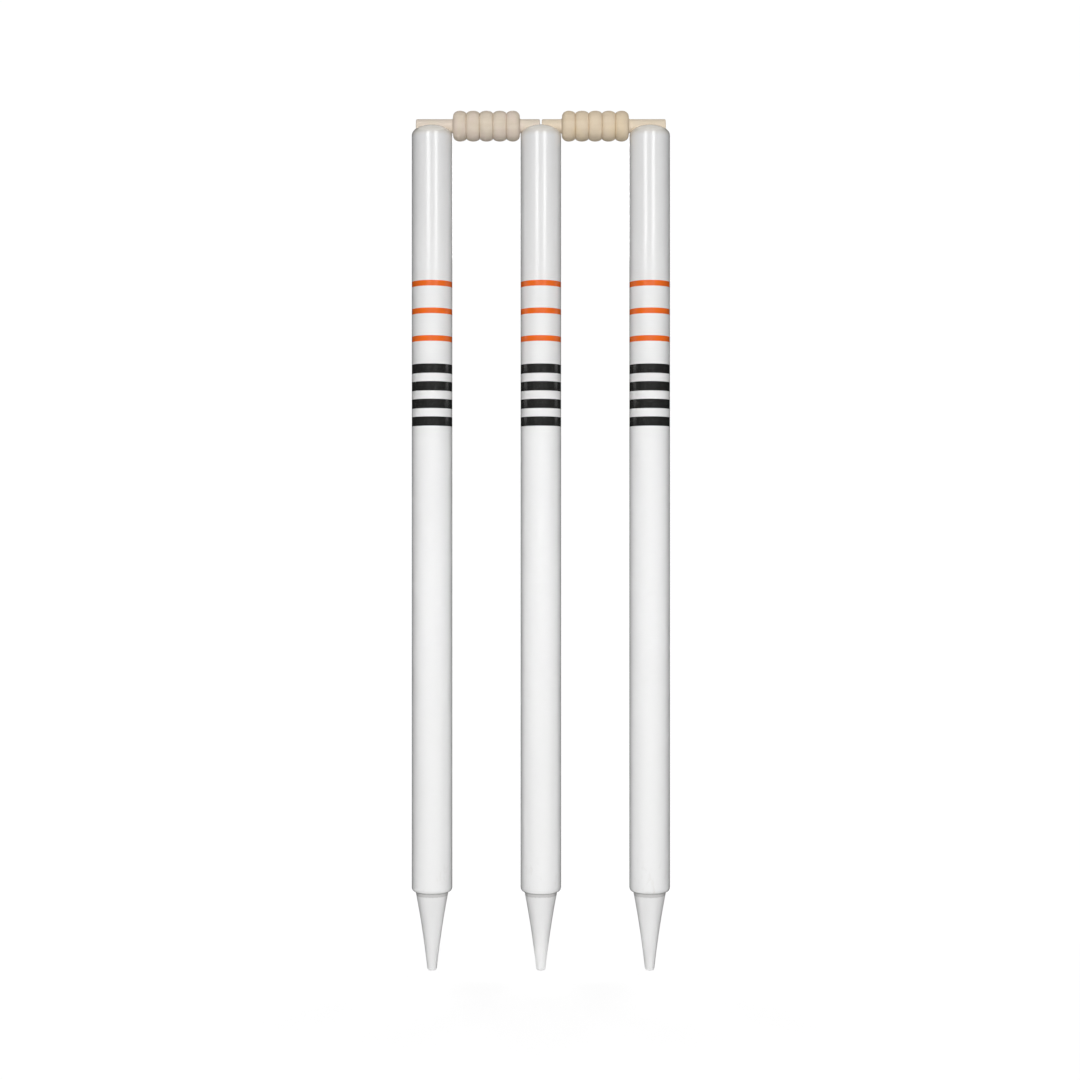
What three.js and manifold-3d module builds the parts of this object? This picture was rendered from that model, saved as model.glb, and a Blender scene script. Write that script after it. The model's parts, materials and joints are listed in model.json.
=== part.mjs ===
// A cricket wicket: three turned wooden stumps standing in a row, with two turned bails across their tops.
// Millimetres. X runs along the wicket, Y runs across it, Z is up.
// Z = 0 is the turf, where the shoulder of each stump stops, and X = Y = 0 is the middle stump's axis.

import * as THREE from 'three';
import { mergeVertices } from 'three/addons/utils/BufferGeometryUtils.js';
import Module from 'manifold-3d';

const wasm = await Module();
wasm.setup();

// The wicket
const stumpPitch = 101; // centre to centre
const stumpHeight = 711.2; // turf to the crown of the dome, 28 inches

// The stump's shaft
const shaftDiameter = 37.5;
const domeRise = 9.8; // height of the domed top above the straight side
const footInset = 3.25; // how far the rounded foot draws in
const footRise = 4.2; // how high the rounding reaches

// The spike, let into the shaft's foot by a round tenon
const spikeLength = 73.1;
const spikeStep = 0.35; // the foot's flat shows this far round the spike's root
const spikeTipDiameter = 8.8;
const spikeTipRounding = 1.8;
const spikeHollow = 0.75; // how far the tapered side is drawn in at its middle
const tenonDiameter = 16;
const tenonLength = 30;
const tenonChamfer = 1;
const socketClearance = 0.3; // room for glue round the tenon
const socketEndGap = 1.5; // room for glue above the tenon
const socketMouthChamfer = 0.8;
const drillPointAngle = THREE.MathUtils.degToRad(118);

// The bail: a long spigot, a barrel of beads and a short spigot, turned in one piece
const bailDiameter = 28; // over the crests of the beads
const beadCount = 5;
const beadGrooveDepth = 3; // between two beads
const barrelEndDepth = 5.2; // how far the barrel's rounded ends draw in, down to a flat face round the spigot
const spigotDiameter = 12.7;
const spigotEndRounding = 1.2;
const spigotRootFillet = 1.3;
const spigotTipInset = 4; // the long spigot stops this far short of the outer stump's far side
const bailTipGap = 1.8; // between the two bails, over the middle stump
const bailEndClearance = 0.8; // between the barrel and each stump

// The groove for the spigots, across the top of each stump
const grooveDepth = 7.6; // from the crown of the dome
const grooveClearance = 0.3; // round the spigot
const cutOverrun = 5; // how far a cutter runs past what it cuts

// Facets
const turnedSides = 48;
const bailSides = 32;
const domeSteps = 8;
const footSteps = 4;
const spikeSteps = 5;
const tipSteps = 2;
const beadHalfSteps = 4;
const roundingSteps = 2;
const grooveSteps = 24;

// Worked out from the sizes above
const shaftRadius = shaftDiameter / 2;
const straightTop = stumpHeight - domeRise;
const footFlatRadius = shaftRadius - footInset;
const spikeRootRadius = footFlatRadius - spikeStep;
const spikeTipRadius = spikeTipDiameter / 2;
const tenonRadius = tenonDiameter / 2;
const socketRadius = tenonRadius + socketClearance;
const socketDepth = tenonLength + socketEndGap;
const socketPointRise = socketRadius / Math.tan(drillPointAngle / 2);
const spigotRadius = spigotDiameter / 2;
const grooveRadius = spigotRadius + grooveClearance;
const grooveAxisHeight = stumpHeight - grooveDepth + grooveRadius;
const barrelLength = stumpPitch - shaftDiameter - 2 * bailEndClearance;
const beadHalfWidth = barrelLength / beadCount / 2;
const crestRadius = bailDiameter / 2;
const beadGrooveRadius = crestRadius - beadGrooveDepth;
const filletRadius = spigotRadius + spigotRootFillet;
const barrelEndRadius = Math.max(crestRadius - barrelEndDepth, filletRadius); // the rounding stops at the fillet
const longSpigotLength = shaftDiameter + bailEndClearance - spigotTipInset;
const shortSpigotLength = shaftRadius + bailEndClearance - bailTipGap / 2;

const glossPaint = new THREE.MeshStandardMaterial({ color: 0xf1f1ef, roughness: 0.22, metalness: 0 });
const mattPaint = new THREE.MeshStandardMaterial({ color: 0xe2e2e0, roughness: 0.6, metalness: 0 });
const bareWood = new THREE.MeshStandardMaterial({ color: 0xd8c6ac, roughness: 0.65, metalness: 0 });

const point = (radius, height) => new THREE.Vector2(radius, height);

// Part of an ellipse, given as (radius, height) points. An angle of 0 points out from the axis and 90 degrees up it.
function arc(centre, halfWidth, halfHeight, fromDegrees, toDegrees, steps) {
  const points = [];
  for (let step = 0; step <= steps; step += 1) {
    const angle = THREE.MathUtils.degToRad(THREE.MathUtils.lerp(fromDegrees, toDegrees, step / steps));
    points.push(point(centre.x + halfWidth * Math.cos(angle), centre.y + halfHeight * Math.sin(angle)));
  }
  return points;
}

// Each run of points starts where the one before it ends, so that shared point is kept once.
const joined = (runs) => runs.flatMap((run, index) => (index === 0 ? run : run.slice(1)));

// A closed geometry becomes a solid that can be cut.
function solidFrom(geometry) {
  const bare = new THREE.BufferGeometry();
  bare.setAttribute('position', geometry.getAttribute('position'));
  bare.setIndex(geometry.getIndex());
  const merged = mergeVertices(bare);
  const corners = merged.getIndex().array;
  const triVerts = [];
  for (let first = 0; first < corners.length; first += 3) {
    const [a, b, c] = corners.slice(first, first + 3);
    const hasArea = a !== b && b !== c && c !== a;
    if (hasArea) triVerts.push(a, b, c);
  }
  return new wasm.Manifold(new wasm.Mesh({
    numProp: 3,
    vertProperties: new Float32Array(merged.getAttribute('position').array),
    triVerts: new Uint32Array(triVerts),
  }));
}

// A solid becomes a geometry that can be shown.
function geometryFrom(solid) {
  const mesh = solid.getMesh();
  const geometry = new THREE.BufferGeometry();
  geometry.setAttribute('position', new THREE.BufferAttribute(mesh.vertProperties, mesh.numProp));
  geometry.setIndex(new THREE.BufferAttribute(mesh.triVerts, 1));
  geometry.computeVertexNormals();
  return geometry;
}

// Turns a profile of (radius, height) points round the Z axis. It starts and ends on the axis, with the wood on its
// left hand.
function turned(profile, sides) {
  const geometry = new THREE.LatheGeometry(profile, sides);
  geometry.rotateX(Math.PI / 2);
  return solidFrom(geometry);
}

// The shaft: a bored socket in its foot, a rounded foot, a straight side and a domed top.
function shaftSolid() {
  const profile = [
    point(0, socketDepth + socketPointRise),
    point(socketRadius, socketDepth),
    point(socketRadius, socketMouthChamfer),
    point(socketRadius + socketMouthChamfer, 0),
    ...arc(point(footFlatRadius, footRise), footInset, footRise, -90, 0, footSteps),
    ...arc(point(0, straightTop), shaftRadius, domeRise, 0, 90, domeSteps),
  ];
  return turned(profile, turnedSides);
}

// The cutter for the bails' groove: a round floor with upright walls, as long as the stump is wide.
function grooveSolid() {
  const section = new THREE.Shape();
  const wallTop = stumpHeight + cutOverrun;
  section.moveTo(grooveRadius, wallTop);
  section.lineTo(-grooveRadius, wallTop);
  section.absarc(0, grooveAxisHeight, grooveRadius, Math.PI, 2 * Math.PI, false);
  const length = shaftDiameter + 2 * cutOverrun;
  const geometry = new THREE.ExtrudeGeometry(section, {
    depth: length, steps: 1, bevelEnabled: false, curveSegments: grooveSteps,
  });
  geometry.translate(0, 0, -length / 2);
  geometry.rotateX(Math.PI / 2);
  geometry.rotateZ(Math.PI / 2);
  return solidFrom(geometry);
}

// The spike: a blunt tip, a slightly hollow taper and a tenon that stands up into the shaft.
function spikeSolid() {
  const sideBottom = point(spikeTipRadius, spikeTipRounding - spikeLength);
  const sideTop = point(spikeRootRadius, 0);
  const middle = new THREE.Vector2().addVectors(sideBottom, sideTop).multiplyScalar(0.5);
  const pull = point(middle.x - 2 * spikeHollow, middle.y);
  const tipCentre = point(spikeTipRadius - spikeTipRounding, sideBottom.y);
  const tip = arc(tipCentre, spikeTipRounding, spikeTipRounding, -90, 0, tipSteps);
  const side = new THREE.QuadraticBezierCurve(sideBottom, pull, sideTop).getPoints(spikeSteps);
  const profile = [
    point(0, -spikeLength),
    ...joined([tip, side]),
    point(tenonRadius, 0),
    point(tenonRadius, tenonLength - tenonChamfer),
    point(tenonRadius - tenonChamfer, tenonLength),
    point(0, tenonLength),
  ];
  return turned(profile, turnedSides);
}

// One bead of the barrel, from the groove below it to the groove above it. The outer halves of the two end beads
// draw in further, as the barrel's rounded ends.
function beadPoints(index) {
  const height = -barrelLength / 2 + (2 * index + 1) * beadHalfWidth;
  const lowerRadius = index === 0 ? barrelEndRadius : beadGrooveRadius;
  const upperRadius = index === beadCount - 1 ? barrelEndRadius : beadGrooveRadius;
  const lower = arc(point(lowerRadius, height), crestRadius - lowerRadius, beadHalfWidth, -90, 0, beadHalfSteps);
  const upper = arc(point(upperRadius, height), crestRadius - upperRadius, beadHalfWidth, 0, 90, beadHalfSteps);
  return joined([lower, upper]);
}

// The bail, standing on its long spigot, with the middle of its barrel at the origin.
function bailSolid() {
  const barrelEnd = barrelLength / 2;
  const longTip = -barrelEnd - longSpigotLength;
  const shortTip = barrelEnd + shortSpigotLength;
  const roundedEnd = (height, from, to) => arc(
    point(spigotRadius - spigotEndRounding, height), spigotEndRounding, spigotEndRounding, from, to, roundingSteps);
  const rootFillet = (height, from, to) => arc(
    point(filletRadius, height), spigotRootFillet, spigotRootFillet, from, to, roundingSteps);
  const beads = Array.from({ length: beadCount }, (unused, index) => beadPoints(index));
  const profile = [
    point(0, longTip),
    ...roundedEnd(longTip + spigotEndRounding, -90, 0),
    ...rootFillet(-barrelEnd - spigotRootFillet, 180, 90),
    ...joined(beads),
    ...rootFillet(barrelEnd + spigotRootFillet, 270, 180),
    ...roundedEnd(shortTip - spigotEndRounding, 0, 90),
    point(0, shortTip),
  ];
  return turned(profile, bailSides);
}

function named(name, solid, material) {
  const mesh = new THREE.Mesh(geometryFrom(solid), material);
  mesh.name = name;
  return mesh;
}

const wicket = new THREE.Group();

// Three stumps, all alike, each a shaft with its spike.
const shaft = shaftSolid().subtract(grooveSolid());
const spike = spikeSolid();
const stumps = [['left', -stumpPitch], ['middle', 0], ['right', stumpPitch]];
for (const [side, offset] of stumps) {
  const stump = new THREE.Group();
  stump.position.x = offset;
  stump.add(named(`${side}_stump_shaft`, shaft, glossPaint));
  stump.add(named(`${side}_stump_spike`, spike, mattPaint));
  wicket.add(stump);
}

// The bails lie along X with their long spigots outwards, so the right one is the left one turned end for end.
const bail = bailSolid();
const bails = [['left', -stumpPitch / 2, 0], ['right', stumpPitch / 2, Math.PI]];
for (const [side, offset, turn] of bails) {
  const seat = new THREE.Group();
  seat.position.set(offset, 0, grooveAxisHeight);
  seat.rotation.z = turn;
  const mesh = named(`${side}_bail`, bail, bareWood);
  mesh.rotation.y = Math.PI / 2;
  seat.add(mesh);
  wicket.add(seat);
}

export default wicket;
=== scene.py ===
# %% [markdown]
# This is a cricket wicket: three stumps with two bails lying across their tops, eight pieces of turned wood
# in all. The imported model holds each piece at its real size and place. The script keeps that frame as it
# is, and makes what the eye sees on it: fine smooth surfaces, paint, bare wood, light and a camera.

# %% Load the frame
import json
import math

import bmesh
import bpy
from mathutils import Matrix, Vector


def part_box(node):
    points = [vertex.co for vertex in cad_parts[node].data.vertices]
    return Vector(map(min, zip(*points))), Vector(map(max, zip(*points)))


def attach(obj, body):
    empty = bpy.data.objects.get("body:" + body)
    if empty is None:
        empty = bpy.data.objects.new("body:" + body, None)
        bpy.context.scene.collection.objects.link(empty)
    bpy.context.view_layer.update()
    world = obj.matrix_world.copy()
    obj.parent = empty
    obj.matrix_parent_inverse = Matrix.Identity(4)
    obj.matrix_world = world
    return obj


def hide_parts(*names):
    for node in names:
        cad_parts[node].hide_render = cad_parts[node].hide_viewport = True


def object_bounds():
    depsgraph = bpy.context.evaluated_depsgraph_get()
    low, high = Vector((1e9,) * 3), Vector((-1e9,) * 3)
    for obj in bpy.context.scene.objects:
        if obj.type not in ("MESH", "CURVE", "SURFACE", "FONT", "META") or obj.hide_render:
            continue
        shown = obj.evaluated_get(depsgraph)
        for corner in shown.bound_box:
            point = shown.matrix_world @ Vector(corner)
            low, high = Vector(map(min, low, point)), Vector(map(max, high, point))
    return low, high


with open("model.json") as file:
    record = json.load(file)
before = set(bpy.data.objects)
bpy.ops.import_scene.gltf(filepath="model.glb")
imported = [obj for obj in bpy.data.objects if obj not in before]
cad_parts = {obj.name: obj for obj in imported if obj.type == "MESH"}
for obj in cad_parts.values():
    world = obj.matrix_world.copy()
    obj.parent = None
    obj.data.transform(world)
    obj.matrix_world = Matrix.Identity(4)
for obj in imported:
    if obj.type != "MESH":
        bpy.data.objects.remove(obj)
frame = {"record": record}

cad_low, cad_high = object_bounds()
MM = 0.001
print("frame, mm:", [round(side / MM, 1) for side in cad_high - cad_low])

# %% [markdown]
# The photograph looks straight at the stumps and level with the middle of them. Two facts set a camera: its
# distance, which shows in how far each round shoulder bows, and how much it takes in, which is the number
# of pixels times the real size of one. The lens follows from these two, so nothing about it is guessed.

# %% The camera
QUARTER_TURN = math.radians(90)
PHOTO_PIXELS = 1080
PIXEL_SIZE = 0.9285 * MM
CAMERA_DISTANCE = 1766 * MM
CAMERA_HEIGHT = 326 * MM
CAMERA_ASIDE = -0.8 * MM
SENSOR_WIDTH = 36.0

camera_data = bpy.data.cameras.new("photo_camera")
camera_data.sensor_width = SENSOR_WIDTH
camera_data.lens = SENSOR_WIDTH * CAMERA_DISTANCE / (PHOTO_PIXELS * PIXEL_SIZE)
camera = bpy.data.objects.new("photo_camera", camera_data)
camera.location = (CAMERA_ASIDE, -CAMERA_DISTANCE, CAMERA_HEIGHT)
camera.rotation_euler = (QUARTER_TURN, 0, 0)
bpy.context.scene.collection.objects.link(camera)
bpy.context.scene.camera = camera
print("lens, mm:", round(camera_data.lens, 1))

# %% [markdown]
# Every shape and finish below is a net of nodes, and a net is easier to read as sums. A Signal is one
# output of a node. Python's own signs work on it, and each sign adds the Math node that does the sum. The
# nodes could be added and linked one by one, but that takes two lines for each and hides the sum that they
# make.

# %% Signals


class Signal:
    """One output of a node. A sum written with it adds the Math nodes that work the sum out."""

    def __init__(self, recipe, socket):
        self.recipe = recipe
        self.socket = socket

    def __add__(self, other):
        return self.recipe.maths("ADD", self, other)

    def __sub__(self, other):
        return self.recipe.maths("SUBTRACT", self, other)

    def __mul__(self, other):
        return self.recipe.maths("MULTIPLY", self, other)

    def __truediv__(self, other):
        return self.recipe.maths("DIVIDE", self, other)

    def __radd__(self, other):
        return self.recipe.maths("ADD", other, self)

    def __rsub__(self, other):
        return self.recipe.maths("SUBTRACT", other, self)

    def __rmul__(self, other):
        return self.recipe.maths("MULTIPLY", other, self)

    def __rtruediv__(self, other):
        return self.recipe.maths("DIVIDE", other, self)

    def __abs__(self):
        return self.recipe.maths("ABSOLUTE", self)

    def of(self, operation, *others):
        """Any other sum that the Math node knows, such as a sine or a floor."""
        return self.recipe.maths(operation, self, *others)

    def limited(self):
        """Kept between 0 and 1."""
        return self.of("MAXIMUM", 0.0).of("MINIMUM", 1.0)

    def step(self, low, high):
        """0 below low, 1 above high, and a soft step between them."""
        inputs = {"Value": self, "From Min": low, "From Max": high}
        return self.recipe.add("ShaderNodeMapRange", {"interpolation_type": "SMOOTHSTEP"}, inputs)


# %% [markdown]
# A Recipe is the net that is being written. One method adds any kind of node. It takes the node's settings
# first, because they decide which sockets the node has, and then what goes into its sockets: a plain value,
# or a Signal that is linked to it. The same class serves shapes, finishes and the sky, because all three
# are nets of nodes.

# %% Recipes


class Recipe:
    """A net of nodes that is being written."""

    def __init__(self, tree):
        self.tree = tree

    def add(self, kind, settings=None, inputs=None, output=0):
        """Adds one node: its settings first, and then a value or a Signal for each socket named."""
        node = self.tree.nodes.new(kind)
        for name, value in (settings or {}).items():
            setattr(node, name, value)
        for key, value in (inputs or {}).items():
            if isinstance(value, Signal):
                self.tree.links.new(value.socket, node.inputs[key])
            else:
                node.inputs[key].default_value = value
        return Signal(self, node.outputs[output]) if len(node.outputs) else None

    def maths(self, operation, *values):
        return self.add("ShaderNodeMath", {"operation": operation}, dict(enumerate(values)))

    def vector(self, x, y, z):
        return self.add("ShaderNodeCombineXYZ", None, {"X": x, "Y": y, "Z": z})

    def parts_of(self, vector):
        """The three numbers in a vector."""
        split = self.add("ShaderNodeSeparateXYZ", None, {"Vector": vector})
        return [Signal(self, split.socket.node.outputs[axis]) for axis in "XYZ"]


# %% [markdown]
# A wood turner makes a stick by following an outline with the tool while the lathe turns it. The shapes
# here are made in the same way. An outline is a list of strokes, and each stroke says how many steps it
# takes, how far it goes out from the axis and how far along it, and in what form: straight, or a quarter of
# an oval that sets off outwards or sets off along the axis. A drawn profile with a Screw modifier would do
# as well, but strokes keep every size as a number that can be changed, and they put the points close
# together where the outline turns fast.

# %% Strokes of an outline


def straight(done):
    """Goes out and along evenly."""
    return done, done


def out_first(done):
    """A quarter of an oval that sets off outwards and ends along the axis."""
    angle = done * QUARTER_TURN
    return angle.of("SINE"), 1 - angle.of("COSINE")


def along_first(done):
    """A quarter of an oval that sets off along the axis and ends outwards."""
    angle = done * QUARTER_TURN
    return 1 - angle.of("COSINE"), angle.of("SINE")


def follow(steps_taken, start_along, strokes):
    """The radius and the place along the axis after so many steps of an outline that starts on the axis."""
    radius = 0.0
    along = start_along
    first = 0
    for steps, out_length, along_length, form in strokes:
        done = ((steps_taken - first) / steps).limited()
        out_share, along_share = form(done)
        radius = radius + out_share * out_length
        along = along + along_share * along_length
        first += steps
    return radius, along


def step_count(strokes):
    return sum(stroke[0] for stroke in strokes)


# %% [markdown]
# Each kind of stick is one Geometry Nodes tree. It starts from a flat grid of squares, one column for each
# step of the outline and one row for each facet round the stick, and wraps that grid round the axis by
# giving each corner its place. The tree has a named input for every size. It ends by joining the seam and
# the poles, by marking as sharp the few edges that the wood really has, and by giving the finish.

# %% Trees that make shapes
FULL_TURN = math.radians(360)
WELD_DISTANCE = 0.002 * MM
SHARP_ANGLE = math.radians(38)
FINISH = "Finish"


def shape_recipe(name, sizes):
    """A new tree with one named input for each size, and the Signals of those inputs."""
    tree = bpy.data.node_groups.new(name, "GeometryNodeTree")
    tree.interface.new_socket("Geometry", in_out="OUTPUT", socket_type="NodeSocketGeometry")
    for size_name, value in sizes.items():
        item = tree.interface.new_socket(size_name, in_out="INPUT", socket_type="NodeSocketFloat")
        item.default_value = value
    tree.interface.new_socket(FINISH, in_out="INPUT", socket_type="NodeSocketMaterial")
    recipe = Recipe(tree)
    entry = tree.nodes.new("NodeGroupInput")
    return recipe, {item.name: Signal(recipe, item) for item in entry.outputs if item.name}


def square_grid(recipe, columns, rows):
    """A flat grid of unit squares, and the two numbers that tell its corners apart, both 0 in the middle."""
    sizes = {"Size X": columns, "Size Y": rows, "Vertices X": columns + 1, "Vertices Y": rows + 1}
    grid = recipe.add("GeometryNodeMeshGrid", None, sizes, "Mesh")
    across, up, _ = recipe.parts_of(recipe.add("GeometryNodeInputPosition"))
    return grid, across, up


def close_shape(recipe, grid, place, finish):
    """Moves the grid's corners to their places and ends the tree."""
    moved = recipe.add("GeometryNodeSetPosition", None, {"Geometry": grid, "Position": place})
    welded = recipe.add("GeometryNodeMergeByDistance", None, {"Geometry": moved, "Distance": WELD_DISTANCE})
    smooth = recipe.add("GeometryNodeSetShadeSmooth", None, {"Geometry": welded, "Shade Smooth": True})
    angle = recipe.add("GeometryNodeInputMeshEdgeAngle", None, None, "Unsigned Angle")
    is_sharp = angle.of("GREATER_THAN", SHARP_ANGLE)
    inputs = {"Geometry": smooth, "Selection": is_sharp, "Shade Smooth": False}
    edged = recipe.add("GeometryNodeSetShadeSmooth", {"domain": "EDGE"}, inputs)
    real = recipe.add("GeometryNodeRealizeInstances", None, {"Geometry": edged})
    finished = recipe.add("GeometryNodeSetMaterial", None, {"Geometry": real, "Material": finish})
    recipe.add("NodeGroupOutput", None, {"Geometry": finished})


def turn_on_lathe(recipe, strokes, start_along, facets, finish):
    """Wraps a grid round the Z axis to the outline, clockwise so that faces point out, and ends the tree."""
    steps = step_count(strokes)
    grid, across, up = square_grid(recipe, steps, facets)
    radius, along = follow(across + steps / 2, start_along, strokes)
    angle = up * (-FULL_TURN / facets)
    place = recipe.vector(radius * angle.of("COSINE"), radius * angle.of("SINE"), along)
    close_shape(recipe, grid, place, finish)


# %% [markdown]
# A tree does its work as a modifier on an object whose own mesh is empty. It could stay there, and the
# stick could still be changed, but the export wants plain meshes, so what the tree makes is kept as a mesh
# and the modifier goes. The stick's place in the frame is put into the corners of the mesh, and the object
# itself stays at the origin, unturned. Each mesh is then looked over: a closed stick has no open edge, and
# its volume comes out above zero only if its faces point outwards.

# %% Trees into pieces
CUBIC_CENTIMETRE = (10 * MM) ** 3


def make_piece(name, recipe, finish, place):
    """Runs a tree and keeps what it makes as a plain mesh, set in its place in the frame."""
    holder = bpy.data.objects.new(name + "_tree", bpy.data.meshes.new(name + "_tree"))
    bpy.context.scene.collection.objects.link(holder)
    modifier = holder.modifiers.new("shape", "NODES")
    modifier.node_group = recipe.tree
    items = recipe.tree.interface.items_tree
    modifier[items[FINISH].identifier] = finish
    evaluated = holder.evaluated_get(bpy.context.evaluated_depsgraph_get())
    mesh = bpy.data.meshes.new_from_object(evaluated)
    mesh.name = name
    bpy.data.objects.remove(holder)
    mesh.transform(place)
    piece = bpy.data.objects.new(name, mesh)
    bpy.context.scene.collection.objects.link(piece)
    report_mesh(piece)
    return piece


def report_mesh(piece):
    """Prints the size of a mesh, and checks that it is closed and that its faces point outwards."""
    shell = bmesh.new()
    shell.from_mesh(piece.data)
    open_edges = sum(not edge.is_manifold for edge in shell.edges)
    volume = shell.calc_volume(signed=True) / CUBIC_CENTIMETRE
    triangles = sum(len(face.verts) - 2 for face in shell.faces)
    shell.free()
    print(f"{piece.name}: {triangles} triangles, {open_edges} open edges, {volume:.1f} cubic centimetres")
    if open_edges or volume <= 0:
        raise ValueError(f"{piece.name} is open or inside out")


# %% [markdown]
# The spike of a stump goes into the ground. It is turned by itself, with a blunt tip, a side that is drawn
# in a little at its middle, and a round tenon that is glued up into the shaft. A plain cone would miss the
# hollow side.

# %% The spike's shape
spike_low, spike_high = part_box("middle_stump_spike")
spike_sizes = {
    "Root radius": spike_high.x,
    "Length": -spike_low.z,
    "Tip radius": 4.4 * MM,
    "Tip rounding": 1.8 * MM,
    "Hollow": 0.75 * MM,
    "Root rounding": 0.3 * MM,
    "Tenon radius": 8 * MM,
    "Tenon length": spike_high.z,
    "Tenon chamfer": 1 * MM,
}
SPIKE_FACETS = 96

spike, size = shape_recipe("spike", spike_sizes)
side_out = size["Root radius"] - size["Tip radius"]
side_length = size["Length"] - size["Tip rounding"] - size["Root rounding"]


def hollow_taper(done):
    """A side drawn in by a curve that is deepest halfway, where done * (1 - done) is a quarter."""
    return done - done * (1 - done) * 4 * size["Hollow"] / side_out, done


spike_strokes = [
    (3, size["Tip radius"] - size["Tip rounding"], 0.0, straight),
    (8, size["Tip rounding"], size["Tip rounding"], out_first),
    (60, side_out, side_length, hollow_taper),
    (4, size["Root rounding"] * -1, size["Root rounding"], along_first),
    (3, size["Tenon radius"] - size["Root radius"] + size["Root rounding"], 0.0, straight),
    (6, 0.0, size["Tenon length"] - size["Tenon chamfer"], straight),
    (1, size["Tenon chamfer"] * -1, size["Tenon chamfer"], straight),
    (3, size["Tenon chamfer"] - size["Tenon radius"], 0.0, straight),
]
turn_on_lathe(spike, spike_strokes, size["Length"] * -1, SPIKE_FACETS, size[FINISH])
print("spike:", step_count(spike_strokes), "steps,", len(spike.tree.nodes), "nodes")

# %% [markdown]
# A bail is turned in one piece from a thin square stick: a long spigot, a barrel of five beads and a short
# spigot. Writing out each bead would do, but they are alike, so a loop adds two strokes for each, one up to
# its crest and one down again. Only the outer sides of the two end beads draw in further, down to a flat
# face round the spigot, with a small fillet at its root.

# %% The bail's shape
bail_low, bail_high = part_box("left_bail")
bail_axis = Vector((0, 0, (bail_low.z + bail_high.z) / 2))
shaft_low, shaft_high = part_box("middle_stump_shaft")
_, outer_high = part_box("left_stump_shaft")
stump_pitch = shaft_high.x - outer_high.x
bail_clearance = 0.8 * MM
barrel_length = shaft_low.x - outer_high.x - 2 * bail_clearance
bail_middle = (shaft_low.x + outer_high.x) / 2
bail_sizes = {
    "Crest radius": (bail_high.z - bail_low.z) / 2,
    "Barrel length": barrel_length,
    "Groove depth": 3.0 * MM,
    "End depth": 5.2 * MM,
    "Spigot radius": 6.35 * MM,
    "Long spigot": bail_middle - barrel_length / 2 - bail_low.x,
    "Short spigot": bail_high.x - bail_middle - barrel_length / 2,
    "End rounding": 1.2 * MM,
    "Root fillet": 1.3 * MM,
}
BEAD_COUNT = 5
BAIL_FACETS = 96

bail, size = shape_recipe("bail", bail_sizes)
end_flat = size["Crest radius"] - size["End depth"] - size["Spigot radius"] - size["Root fillet"]
bead_half = size["Barrel length"] / (2 * BEAD_COUNT)
end_face = size["Spigot radius"] - size["End rounding"]
end_loss = size["End rounding"] + size["Root fillet"]

bail_strokes = [
    (4, end_face, 0.0, straight),
    (6, size["End rounding"], size["End rounding"], out_first),
    (12, 0.0, size["Long spigot"] - end_loss, straight),
    (6, size["Root fillet"], size["Root fillet"], along_first),
    (2, end_flat, 0.0, straight),
]
for bead in range(BEAD_COUNT):
    rise = size["Groove depth"] if bead > 0 else size["End depth"]
    fall = size["Groove depth"] if bead < BEAD_COUNT - 1 else size["End depth"]
    bail_strokes += [(16, rise, bead_half, out_first), (16, fall * -1, bead_half, along_first)]
bail_strokes += [
    (2, end_flat * -1, 0.0, straight),
    (6, size["Root fillet"] * -1, size["Root fillet"], out_first),
    (8, 0.0, size["Short spigot"] - end_loss, straight),
    (6, size["End rounding"] * -1, size["End rounding"], along_first),
    (4, end_face * -1, 0.0, straight),
]
bail_start = (size["Barrel length"] / 2 + size["Long spigot"]) * -1
turn_on_lathe(bail, bail_strokes, bail_start, BAIL_FACETS, size[FINISH])
print("bail:", step_count(bail_strokes), "steps,", len(bail.tree.nodes), "nodes")

# %% [markdown]
# The shaft is turned too, but a groove for the bails is cut across its domed top. A boolean cut would leave
# a hard edge and ragged facets just where the light catches. Here the grid runs over the top in straight
# rows that follow the groove, from one side of the foot to the other, and each corner of the top takes the
# lower of two heights, the dome's or the groove's. The Math node's smooth minimum blends the two where they
# meet, as a coat of paint does.

# %% The shaft's shape
shaft_sizes = {
    "Radius": shaft_high.x,
    "Height": 711.2 * MM,
    "Dome rise": 9.8 * MM,
    "Foot inset": 3.25 * MM,
    "Foot rise": 4.2 * MM,
    "Socket radius": 8.3 * MM,
    "Socket depth": 31.5 * MM,
    "Socket point": 4.99 * MM,
    "Socket chamfer": 0.8 * MM,
    "Groove radius": 6.65 * MM,
    "Groove depth": 7.6 * MM,
    "Lip rounding": 0.8 * MM,
}
TOP_STEPS = 48
GROOVE_ROWS = 24
SIDE_ROWS = 40
GROOVE_WALL_SLOPE = 3.0

shaft, size = shape_recipe("shaft", shaft_sizes)
straight_top = size["Height"] - size["Dome rise"]
shaft_strokes = [
    (3, size["Socket radius"], size["Socket point"] * -1, straight),
    (6, 0.0, size["Socket chamfer"] - size["Socket depth"], straight),
    (1, size["Socket chamfer"], size["Socket chamfer"] * -1, straight),
    (3, size["Radius"] - size["Foot inset"] - size["Socket radius"] - size["Socket chamfer"], 0.0, straight),
    (10, size["Foot inset"], size["Foot rise"], out_first),
    (30, 0.0, straight_top - size["Foot rise"], straight),
]
side_steps = step_count(shaft_strokes)
grid, across, up = square_grid(shaft, 2 * (side_steps + TOP_STEPS), 2 * (GROOVE_ROWS + SIDE_ROWS))
steps_taken = side_steps + TOP_STEPS - abs(across)
radius, height = follow(steps_taken, size["Socket depth"] + size["Socket point"], shaft_strokes)
over_top = ((steps_taken - side_steps) / TOP_STEPS).limited() * QUARTER_TURN
in_groove = (abs(up) / GROOVE_ROWS).limited() * QUARTER_TURN
past_groove = ((abs(up) - GROOVE_ROWS) / SIDE_ROWS).limited()
groove_share = size["Groove radius"] / size["Radius"]
turned = (groove_share * in_groove.of("SINE")).of("ARCSINE")
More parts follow.
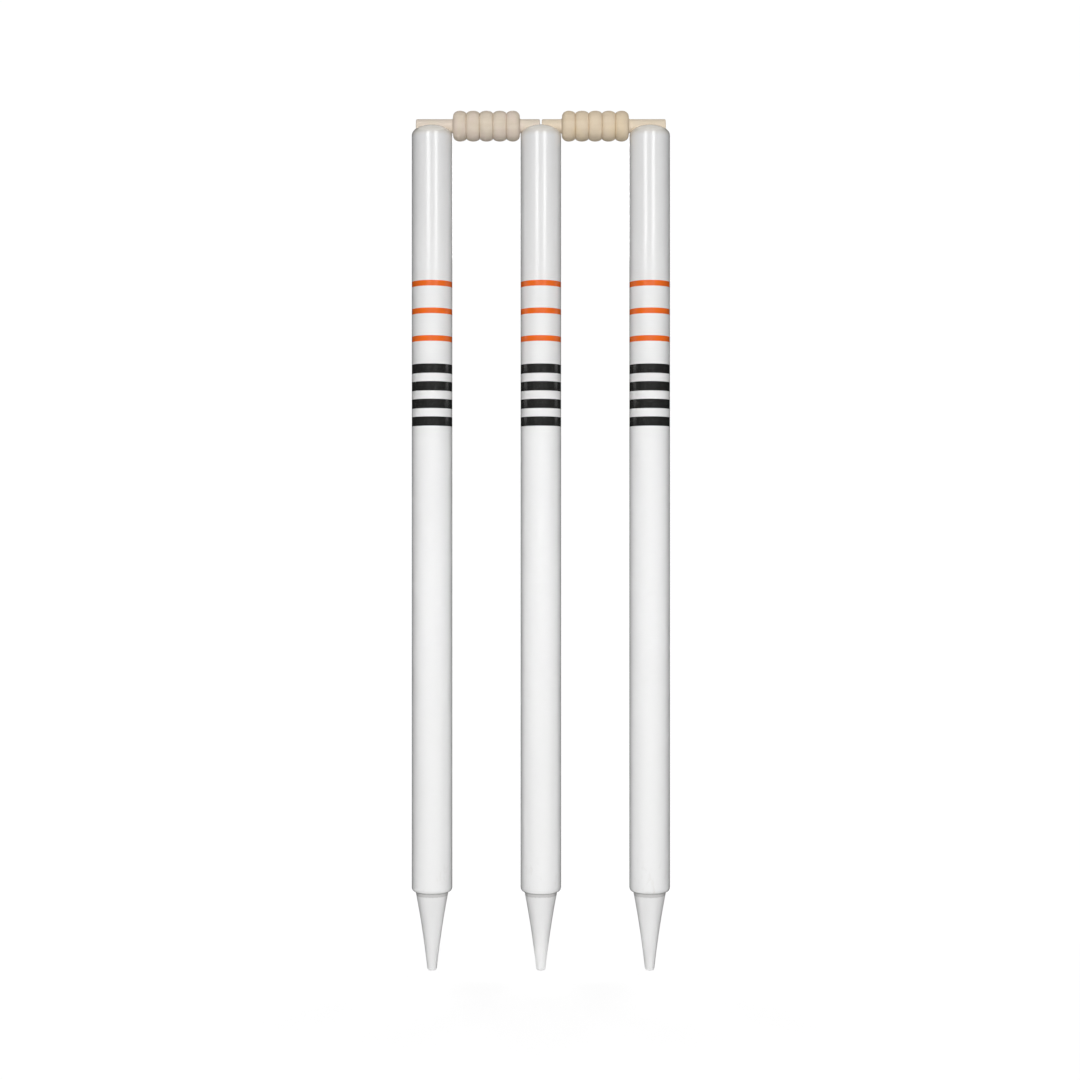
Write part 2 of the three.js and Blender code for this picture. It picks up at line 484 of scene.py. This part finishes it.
turned = turned + past_groove * (QUARTER_TURN - groove_share.of("ARCSINE"))
place_x = radius * turned.of("COSINE") * over_top.of("COSINE") * across.of("SIGN")
place_y = radius * turned.of("SINE") * up.of("SIGN")
dome = height + size["Dome rise"] * turned.of("COSINE") * over_top.of("SINE")
groove_axis = size["Height"] - size["Groove depth"] + size["Groove radius"]
groove = groove_axis - size["Groove radius"] * in_groove.of("COSINE")
groove = groove + past_groove * size["Radius"] * GROOVE_WALL_SLOPE
place_z = dome.of("SMOOTH_MIN", groove, size["Lip rounding"])
close_shape(shaft, grid, shaft.vector(place_x, place_y, place_z), size[FINISH])
print("shaft:", side_steps + TOP_STEPS, "steps a side,", len(shaft.tree.nodes), "nodes")

# %% [markdown]
# Colours are written as they look on a screen, from 0 to 255, and turned into the light that nodes work
# with. Every pattern reads Object coordinates in metres, so that its grain has a real size, and a Mapping
# node stretches it. Each finish is one Principled shader, and its patterns change the colour, the roughness
# and the height of the surface. A number that multiplies a pattern says how much of it shows, and in the
# relief it is a height in millimetres. The two numbers of a step on noise are the levels between which a
# mark sets in.

# %% Helpers for finishes
MIX_SHARE = 0
MIX_FIRST_COLOUR = 6
MIX_SECOND_COLOUR = 7
MIX_COLOUR_RESULT = 2


def screen_colour(*parts):
    """The light of a colour given as three numbers from 0 to 255, by the sRGB curve."""
    shares = [part / 255 for part in parts]
    light = [share / 12.92 if share <= 0.04045 else ((share + 0.055) / 1.055) ** 2.4 for share in shares]
    return (*light, 1.0)


def new_finish(name):
    """An empty material, the recipe of its nodes, and the place of each point of the object."""
    material = bpy.data.materials.new(name)
    material.use_nodes = True
    material.node_tree.nodes.clear()
    recipe = Recipe(material.node_tree)
    place = recipe.add("ShaderNodeTexCoord", None, None, "Object")
    return material, recipe, place


def speckle(place, size, stretch=(1, 1, 1), detail=2.0):
    """Noise from 0 to 1 whose grain is about so large, drawn out along each axis by the stretch.

    The detail is how many finer layers of the same noise are added to it.
    """
    recipe = place.recipe
    inputs = {"Vector": place, "Scale": [1 / (size * times) for times in stretch]}
    scaled = recipe.add("ShaderNodeMapping", None, inputs)
    return recipe.add("ShaderNodeTexNoise", None, {"Vector": scaled, "Scale": 1.0, "Detail": detail})


def blend(share, first, second):
    """A colour between two. A Mix node has several sockets of each name, so they are called by number."""
    inputs = {MIX_SHARE: share, MIX_FIRST_COLOUR: first, MIX_SECOND_COLOUR: second}
    return share.recipe.add("ShaderNodeMix", {"data_type": "RGBA"}, inputs, MIX_COLOUR_RESULT)


def finish_surface(recipe, colour, roughness, relief, **constants):
    """Ends a material. The relief is a height in millimetres, and the constants are for other sockets."""
    bump = recipe.add("ShaderNodeBump", None, {"Distance": MM, "Height": relief})
    inputs = {"Base Color": colour, "Roughness": roughness, "Normal": bump, **constants}
    skin = recipe.add("ShaderNodeBsdfPrincipled", None, inputs)
    recipe.add("ShaderNodeOutputMaterial", None, {"Surface": skin})


# %% [markdown]
# The shafts have a hard gloss paint with a clear coat over it, as on wood that is played with outdoors.
# Three things give it away: an orange-peel ripple on slower waves, the long grain of the wood that still
# shows through as faint ridges, and the rub marks at the foot. The top is painted darker and warmer, as
# painted shade with a painted reflection of the bails. Plain rings are painted round it, three orange and
# four black. An image could be wrapped round the shaft, but rings that are sums of the height stay sharp
# from any distance. Seen at a slant the clear coat mirrors a black card, and that darkens the round edges.

# %% Gloss paint
WHITE = screen_colour(240, 240, 240)
ORANGE = screen_colour(241, 108, 32)
BLACK = screen_colour(40, 40, 39)
CLOUDED = screen_colour(231, 231, 230)
SCUFF = screen_colour(196, 192, 184)
# Painted shade with a painted warm reflection of the bails, at the top of the shaft.
TOP_SHADE_AND_REFLECTION = screen_colour(214, 206, 192)
TOP_SHADE_REACH = (698 * MM, 706 * MM)
SCUFFED_REACH = (2 * MM, 40 * MM)
ORANGE_RINGS = {"start": 509 * MM, "pitch": 25.4 * MM, "width": 5.2 * MM, "count": 3}
BLACK_RINGS = {"start": 431 * MM, "pitch": 16.2 * MM, "width": 8.6 * MM, "count": 4}
RING_EDGE = 0.12 * MM
CLEAR_COAT = {"Coat Weight": 1.0, "Coat Roughness": 0.18}
BRUSH_WANDER = 0.22 * MM


def rings(height, start, pitch, width, count):
    """1 on each of a row of painted rings, and 0 between them."""
    turns = (height - start) / pitch
    inside = turns.of("GREATER_THAN", 0.0) * turns.of("LESS_THAN", count)
    along = turns.of("FRACT") * pitch
    return inside * along.step(0.0, RING_EDGE) * (1 - along.step(width, width + RING_EDGE))


def gloss_paint():
    """White gloss with painted rings, the wood's ridges under it, rubs at the foot and painted shade at the
    top.
    """
    material, recipe, place = new_finish("gloss_paint")
    _, _, height = recipe.parts_of(place)
    peel = speckle(place, 1.6 * MM, stretch=(1, 1, 1.4), detail=1.0)
    grain = speckle(place, 1.1 * MM, stretch=(1, 1, 60), detail=2.0)
    cloud = speckle(place, 45 * MM, stretch=(1, 1, 3), detail=3.0)
    ripple = speckle(place, 7 * MM, stretch=(1, 1, 5), detail=1.0)
    edge = height + (speckle(place, 0.9 * MM) - 0.5) * BRUSH_WANDER
    orange = rings(edge, **ORANGE_RINGS)
    black = rings(edge, **BLACK_RINGS)
    near_foot = 1 - height.step(*SCUFFED_REACH)
    rub = (speckle(place, 3 * MM, stretch=(1, 1, 3), detail=4.0) - cloud * 0.2).step(0.47, 0.62) * near_foot
    colour = blend(cloud * 0.1, WHITE, CLOUDED)
    colour = blend(rub * 0.35, colour, SCUFF)
    # The top is painted darker and warmer: painted shade and a painted reflection of the bails.
    colour = blend(height.step(*TOP_SHADE_REACH) * 0.75, colour, TOP_SHADE_AND_REFLECTION)
    colour = blend(orange, colour, ORANGE)
    colour = blend(black, colour, BLACK)
    roughness = 0.16 + cloud * 0.06 + rub * 0.2 + (orange + black) * 0.06
    relief = peel * 0.012 + grain * 0.010 + ripple * 0.07 + (orange + black) * 0.03 - rub * 0.01
    finish_surface(recipe, colour, roughness, relief, **CLEAR_COAT)
    return material


gloss = gloss_paint()
print("gloss paint:", len(gloss.node_tree.nodes), "nodes")

# %% [markdown]
# The spikes have one thin coat of matt paint with only a soft sheen, so the tool's turning marks still show
# as fine rings. Under the shaft's shoulder a grey band of painted shadow runs round the root, the shade that
# the shoulder casts, and above it is a dark joint line of dirt with painted shade, with a ragged edge. Both
# follow the height with noise added to it, which wanders as a brush does. A mask drawn by hand would be the
# same on all three, but noise that fills space gives each spike an edge of its own.

# %% Matt paint
MATT_WHITE = screen_colour(234, 234, 234)
THIN_COAT = screen_colour(223, 222, 221)
# Painted shade and dirt at the joint under the shaft's shoulder.
JOINT_DIRT_AND_SHADE = screen_colour(118, 115, 111)
SHOULDER_SHADOW_BAND = (-4.1 * MM, -3.1 * MM)
JOINT_LINE = (-1.2 * MM, -0.3 * MM)
JOINT_WANDER = 1.6 * MM
TOOL_MARK_PITCH = 1.3 * MM
TOOL_MARK_WANDER = 0.5 * MM
SOFT_COAT = {"Coat Weight": 1.0, "Coat Roughness": 0.3}


def matt_paint():
    """Thin paint with turning marks, and at the joint a band of painted shadow and a line of dirt and shade.
    """
    material, recipe, place = new_finish("matt_paint")
    _, _, height = recipe.parts_of(place)
    wander = speckle(place, 6 * MM, stretch=(1, 1, 0.5))
    tool_marks = ((height + wander * TOOL_MARK_WANDER) * (FULL_TURN / TOOL_MARK_PITCH)).of("SINE")
    grain = speckle(place, 0.8 * MM, stretch=(1, 1, 30), detail=3.0)
    cloud = speckle(place, 14 * MM, stretch=(1, 1, 2), detail=4.0)
    ragged = height + (speckle(place, 1.5 * MM, stretch=(1, 1, 0.6), detail=4.0) - 0.5) * JOINT_WANDER
    # The band is a painted shadow of the shoulder, and the line is dirt in the joint with painted shade.
    band = ragged.step(*SHOULDER_SHADOW_BAND)
    line = ragged.step(*JOINT_LINE)
    colour = blend(cloud * 0.5, MATT_WHITE, THIN_COAT)
    colour = blend(grain.step(0.55, 0.8) * 0.3, colour, THIN_COAT)
    colour = blend(band * 0.36 + line * 0.3, colour, JOINT_DIRT_AND_SHADE)
    roughness = 0.42 + cloud * 0.15 + band * 0.1
    relief = tool_marks * 0.008 + grain * 0.03 + cloud * 0.01 - line * 0.1
    finish_surface(recipe, colour, roughness, relief, **SOFT_COAT)
    return material


matt = matt_paint()
print("matt paint:", len(matt.node_tree.nodes), "nodes")

# %% [markdown]
# The bails are bare wood, pale and close-grained, sanded while they turned. The grain runs along the stick,
# with short dark pores in it and slow patches of another tone. The end faces round the roots of the spigots
# are darker: dust, with painted shade where a bail meets its stump. The spigots are cleaner, and their ends
# show end grain. The two bails are cut from different wood, one a little pinker and one a little yellower.
# An image of wood would show its seam on a turned shape, so the grain is noise that fills space and is
# drawn out along the stick.

# %% Bare wood
# Dust in the pores, and dust with painted shade at the roots of the spigots.
DUST_AND_SHADE = screen_colour(150, 128, 106)
CLEAN = screen_colour(233, 224, 211)
BARREL_START = (6.95 * MM, 7.75 * MM)
ROOT_START = (6.9 * MM, 7.4 * MM)
ROOT_END = (8.2 * MM, 9.5 * MM)
SANDING_PITCH = 0.9 * MM
SANDING_WANDER = 0.2 * MM
DRY_SURFACE = {"Specular IOR Level": 0.3}


def bare_wood(name, pale, deep, tint):
    """Sanded wood whose grain runs along the X axis, in three tones given from 0 to 255."""
    material, recipe, place = new_finish(name)
    pale, deep, tint = (screen_colour(*colour) for colour in (pale, deep, tint))
    along, across, height = recipe.parts_of(place)
    above = height - bail_axis.z
    from_axis = (across * across + above * above).of("SQRT")
    band = speckle(place, 3.2 * MM, stretch=(14, 1, 1), detail=3.0)
    fibre = speckle(place, 0.45 * MM, stretch=(24, 1, 1), detail=3.0)
    pore = speckle(place, 0.3 * MM, stretch=(8, 1, 1), detail=1.0).step(0.64, 0.74)
    cloud = speckle(place, 18 * MM, stretch=(1.5, 1, 1))
    patch = speckle(place, 11 * MM, stretch=(1, 1.6, 1.6), detail=1.0).step(0.38, 0.62)
    on_barrel = from_axis.step(*BARREL_START)
    root = from_axis.step(*ROOT_START) * (1 - from_axis.step(*ROOT_END))
    colour = blend((band * 0.9 + cloud * 0.5).step(0.45, 0.95) * 0.6, pale, deep)
    colour = blend(fibre.step(0.5, 0.8) * 0.15, colour, deep)
    colour = blend(patch * 0.35, colour, tint)
    colour = blend((1 - on_barrel) * 0.35, colour, CLEAN)
    colour = blend(pore * 0.12, colour, DUST_AND_SHADE)
    # Dust and painted shade round the spigot's root, where the bail meets its stump.
    colour = blend(root * 0.3, colour, DUST_AND_SHADE)
    roughness = 0.56 + fibre * 0.12
    sanding = ((along + band * SANDING_WANDER) * (FULL_TURN / SANDING_PITCH)).of("SINE")
    relief = fibre * 0.03 - pore * 0.05 + sanding * 0.004
    finish_surface(recipe, colour, roughness, relief, **DRY_SURFACE)
    return material


wood = {
    "left": bare_wood("bare_wood_left", pale=(229, 216, 198), deep=(218, 203, 181), tint=(231, 211, 202)),
    "right": bare_wood("bare_wood_right", pale=(233, 216, 191), deep=(223, 203, 174), tint=(236, 216, 180)),
}
print("bare wood:", len(wood["left"].node_tree.nodes), "nodes for each bail")

# %% [markdown]
# Now the sticks are made and set in place: three stumps that are all alike, and one bail that is used
# twice, the second time turned end for end so that both have their long spigots outwards. Each stick stands
# for a node of the frame and rides on that node's body, so that it moves with the joints.

# %% Make the pieces
bodies = frame["record"]["behaviour"]["bodies"]


def stand_for(piece, node):
    """The piece takes the place of a node, on its body."""
    body = next(name for name, nodes in bodies.items() if node in nodes)
    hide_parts(node)
    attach(piece, body)


for side, offset in (("left", -stump_pitch), ("middle", 0.0), ("right", stump_pitch)):
    place = Matrix.Translation((offset, 0, 0))
    stand_for(make_piece(f"{side}_shaft", shaft, gloss, place), f"{side}_stump_shaft")
    stand_for(make_piece(f"{side}_spike", spike, matt, place), f"{side}_stump_spike")

lying_down = Matrix.Rotation(QUARTER_TURN, 4, "Y")
for side, offset, turn in (("left", bail_middle, 0.0), ("right", -bail_middle, FULL_TURN / 2)):
    place = Matrix.Translation((offset, 0, bail_axis.z)) @ Matrix.Rotation(turn, 4, "Z") @ lying_down
    stand_for(make_piece(f"{side}_bail_turned", bail, wood[side], place), f"{side}_bail")

# %% [markdown]
# The photograph has a pure white background. Making it with strong lamps would wash out white paint, so the
# sky is only white to the camera and in reflections, and to everything else it is a faint grey light from
# all round. The light on the object comes from lamps at a plain level. White is set a hair above 1, so that
# it stays pure.

# %% White sky
AMBIENT = 0.07
PLAIN_WHITE = 1.02

world = bpy.data.worlds.new("studio")
bpy.context.scene.world = world
world.use_nodes = True
world.node_tree.nodes.clear()
sky = Recipe(world.node_tree)


def grey(level):
    """A grey given as light, where 1 is white. It isn't how the grey looks on a screen."""
    return (level, level, level, 1)


def seen_or_mirrored(recipe):
    """1 for rays that show a background, and 0 for rays that only carry light."""
    path = recipe.add("ShaderNodeLightPath")
    outputs = path.socket.node.outputs
    kinds = [Signal(recipe, outputs[f"Is {kind} Ray"]) for kind in ("Camera", "Glossy", "Transmission")]
    return (kinds[0] + kinds[1] + kinds[2]).limited()


brightness = AMBIENT + seen_or_mirrored(sky) * (PLAIN_WHITE - AMBIENT)
background = sky.add("ShaderNodeBackground", None, {"Color": grey(1), "Strength": brightness})
sky.add("ShaderNodeOutputWorld", None, {"Surface": background})
print("sky:", len(sky.tree.nodes), "nodes")

# %% [markdown]
# The floor is white in the same way, but near the object part of it is real card, which takes a soft
# shadow, and the rest glows more to make up for it. Together they come to a plain white and no more,
# because a floor brighter than white would eat into the object's edges. Farther out the card is darker, so
# that less light comes back up from it. A floor of real white card alone would need strong lamps, or it
# would look grey.

# %% White floor
FLOOR_SIZE = 14.0
CARD_SHARE = 0.4
CARD_REACH = (0.2, 0.55)
CARD_NEAR = grey(0.7)
CARD_FAR = grey(0.3)
DARKER_REACH = (0.2, 0.5)
SHADER_SHARE = 0
FIRST_SHADER = 1
SECOND_SHADER = 2
GLOW_NEAR = grey(1.37)
GLOW_FAR = grey(PLAIN_WHITE)

card, ground, place = new_finish("white_card")
x, y, _ = ground.parts_of(place)
out_from_middle = (x * x + y * y).of("SQRT")
far = out_from_middle.step(*CARD_REACH)
glow_share = seen_or_mirrored(ground) * (1 - (1 - far) * CARD_SHARE)
card_colour = blend(out_from_middle.step(*DARKER_REACH), CARD_NEAR, CARD_FAR)
diffuse = ground.add("ShaderNodeBsdfDiffuse", None, {"Color": card_colour})
glow = ground.add("ShaderNodeEmission", None, {"Color": blend(far, GLOW_NEAR, GLOW_FAR), "Strength": 1.0})
inputs = {SHADER_SHARE: glow_share, FIRST_SHADER: diffuse, SECOND_SHADER: glow}
mixed = ground.add("ShaderNodeMixShader", None, inputs)
ground.add("ShaderNodeOutputMaterial", None, {"Surface": mixed})


def sheet_of(name, corners, faces, material):
    """A flat or folded sheet that belongs to the studio and not to the object."""
    mesh = bpy.data.meshes.new(name)
    mesh.from_pydata(corners, [], faces)
    mesh.materials.append(material)
    sheet = bpy.data.objects.new(name, mesh)
    bpy.context.scene.collection.objects.link(sheet)
    return sheet


half = FLOOR_SIZE / 2
floor_corners = [(x, y, cad_low.z) for x, y in ((-half, -half), (half, -half), (half, half), (-half, half))]
sheet_of("floor", floor_corners, [(0, 1, 2, 3)], card)
print("floor:", FLOOR_SIZE, "metres wide,", len(ground.tree.nodes), "nodes")

# %% [markdown]
# A white thing on a white ground is drawn by its edges, so nearly all the light comes from straight ahead:
# the round sides fall off into grey, as they do in the photograph. The front lamps stand far off, because
# near ones would light each outer stump from one side. A narrow beam brightens the middle of the shafts,
# and a low lamp reaches the spikes. Each lamp either lights the object or is mirrored in its gloss, which
# lets the two be set one at a time. Two upright strips are mirrored as the pair of bright lines near the
# top. The lamps behind and at the sides serve the other views.

# %% Lamps
AIM = Vector((0, 0, 0.33))


def lamp(name, place, width, height, brightness, spread=180, mirrored=False):
    """A rectangle of light that faces the object. Its face is so many times as bright as a white wall.

    A spread of 180 degrees is a plain lamp, and a small one is a beam. A mirrored lamp doesn't light.
    """
    data = bpy.data.lights.new(name, "AREA")
    data.shape = "RECTANGLE"
    data.size = width
    data.size_y = height
    data.spread = math.radians(spread)
    data.energy = brightness * math.pi * width * height
    reach = AIM - Vector(place)
    light = bpy.data.objects.new(name, data)
    light.location = place
    light.rotation_euler = reach.to_track_quat("-Z", "Y").to_euler()
    light.visible_camera = False
    light.visible_diffuse = not mirrored
    light.visible_glossy = mirrored
    bpy.context.scene.collection.objects.link(light)


lamp("front", (0, -5, 0.6), width=1.6, height=1.2, brightness=18.8)
lamp("raised", (0, -4.4, 2.9), width=1.6, height=1.6, brightness=10.4)
lamp("beam", (0, -2.5, 0.42), width=1.6, height=0.25, brightness=0.36, spread=20)
lamp("low", (0, -0.5, -0.05), width=0.9, height=0.04, brightness=4.3)
for side in (-1, 1):
    lamp("back", (side * 0.75, 1.1, 0.9), width=0.8, height=0.8, brightness=5.0)
    lamp("flank", (side * 1.3, 0, 0.4), width=0.15, height=0.9, brightness=2.0)
    lamp("strip", (side * 0.5, -1.23, 0.99), width=0.4, height=0.44, brightness=3.1, mirrored=True)
lamp("back_strip", (0, 1.3, 0.99), width=0.3, height=0.44, brightness=2.8, mirrored=True)

# %% [markdown]
# A photographer sets black cards round a glossy thing, out of the picture, to draw its edges. Here one
# round card lies on the floor and stands up at its rim, so that the paint mirrors black beside the strips,
# and its edges and its dark rings stay dark. It is there for reflections only: the camera doesn't see it,
# and it neither bounces light nor throws a shadow.

# %% Black card
BLACK_CLOTH = grey(0.01)
BLACK_CARD_OUTLINE = ((0.06, 0.002), (1.5, 0.002), (1.5, 2.2))
BLACK_CARD_FOLDS = 48


def black_card(black):
    """A round black card that lies on the floor about the object and stands up at its rim."""
    corners = []
    for fold in range(BLACK_CARD_FOLDS):
        angle = FULL_TURN * fold / BLACK_CARD_FOLDS
        for reach, rise in BLACK_CARD_OUTLINE:
            corners.append((reach * math.sin(angle), reach * math.cos(angle), cad_low.z + rise))
    row = len(BLACK_CARD_OUTLINE)
    faces = []
    for fold in range(BLACK_CARD_FOLDS):
        following = (fold + 1) % BLACK_CARD_FOLDS
        for step in range(row - 1):
            here = fold * row + step
            there = following * row + step
            faces.append((here, here + 1, there + 1, there))
    sheet = sheet_of("black_card", corners, faces, black)
    sheet.visible_camera = False
    sheet.visible_diffuse = False
    sheet.visible_shadow = False
    sheet.visible_transmission = False


black, cloth, _ = new_finish("black_cloth")
surface = cloth.add("ShaderNodeBsdfDiffuse", None, {"Color": BLACK_CLOTH})
cloth.add("ShaderNodeOutputMaterial", None, {"Surface": surface})
black_card(black)
print("black card:", BLACK_CARD_FOLDS, "folds")

# %% [markdown]
# The Standard view shows each colour as it was written, where the default one would soften the whites.

# %% The view
bpy.context.scene.view_settings.view_transform = "Standard"
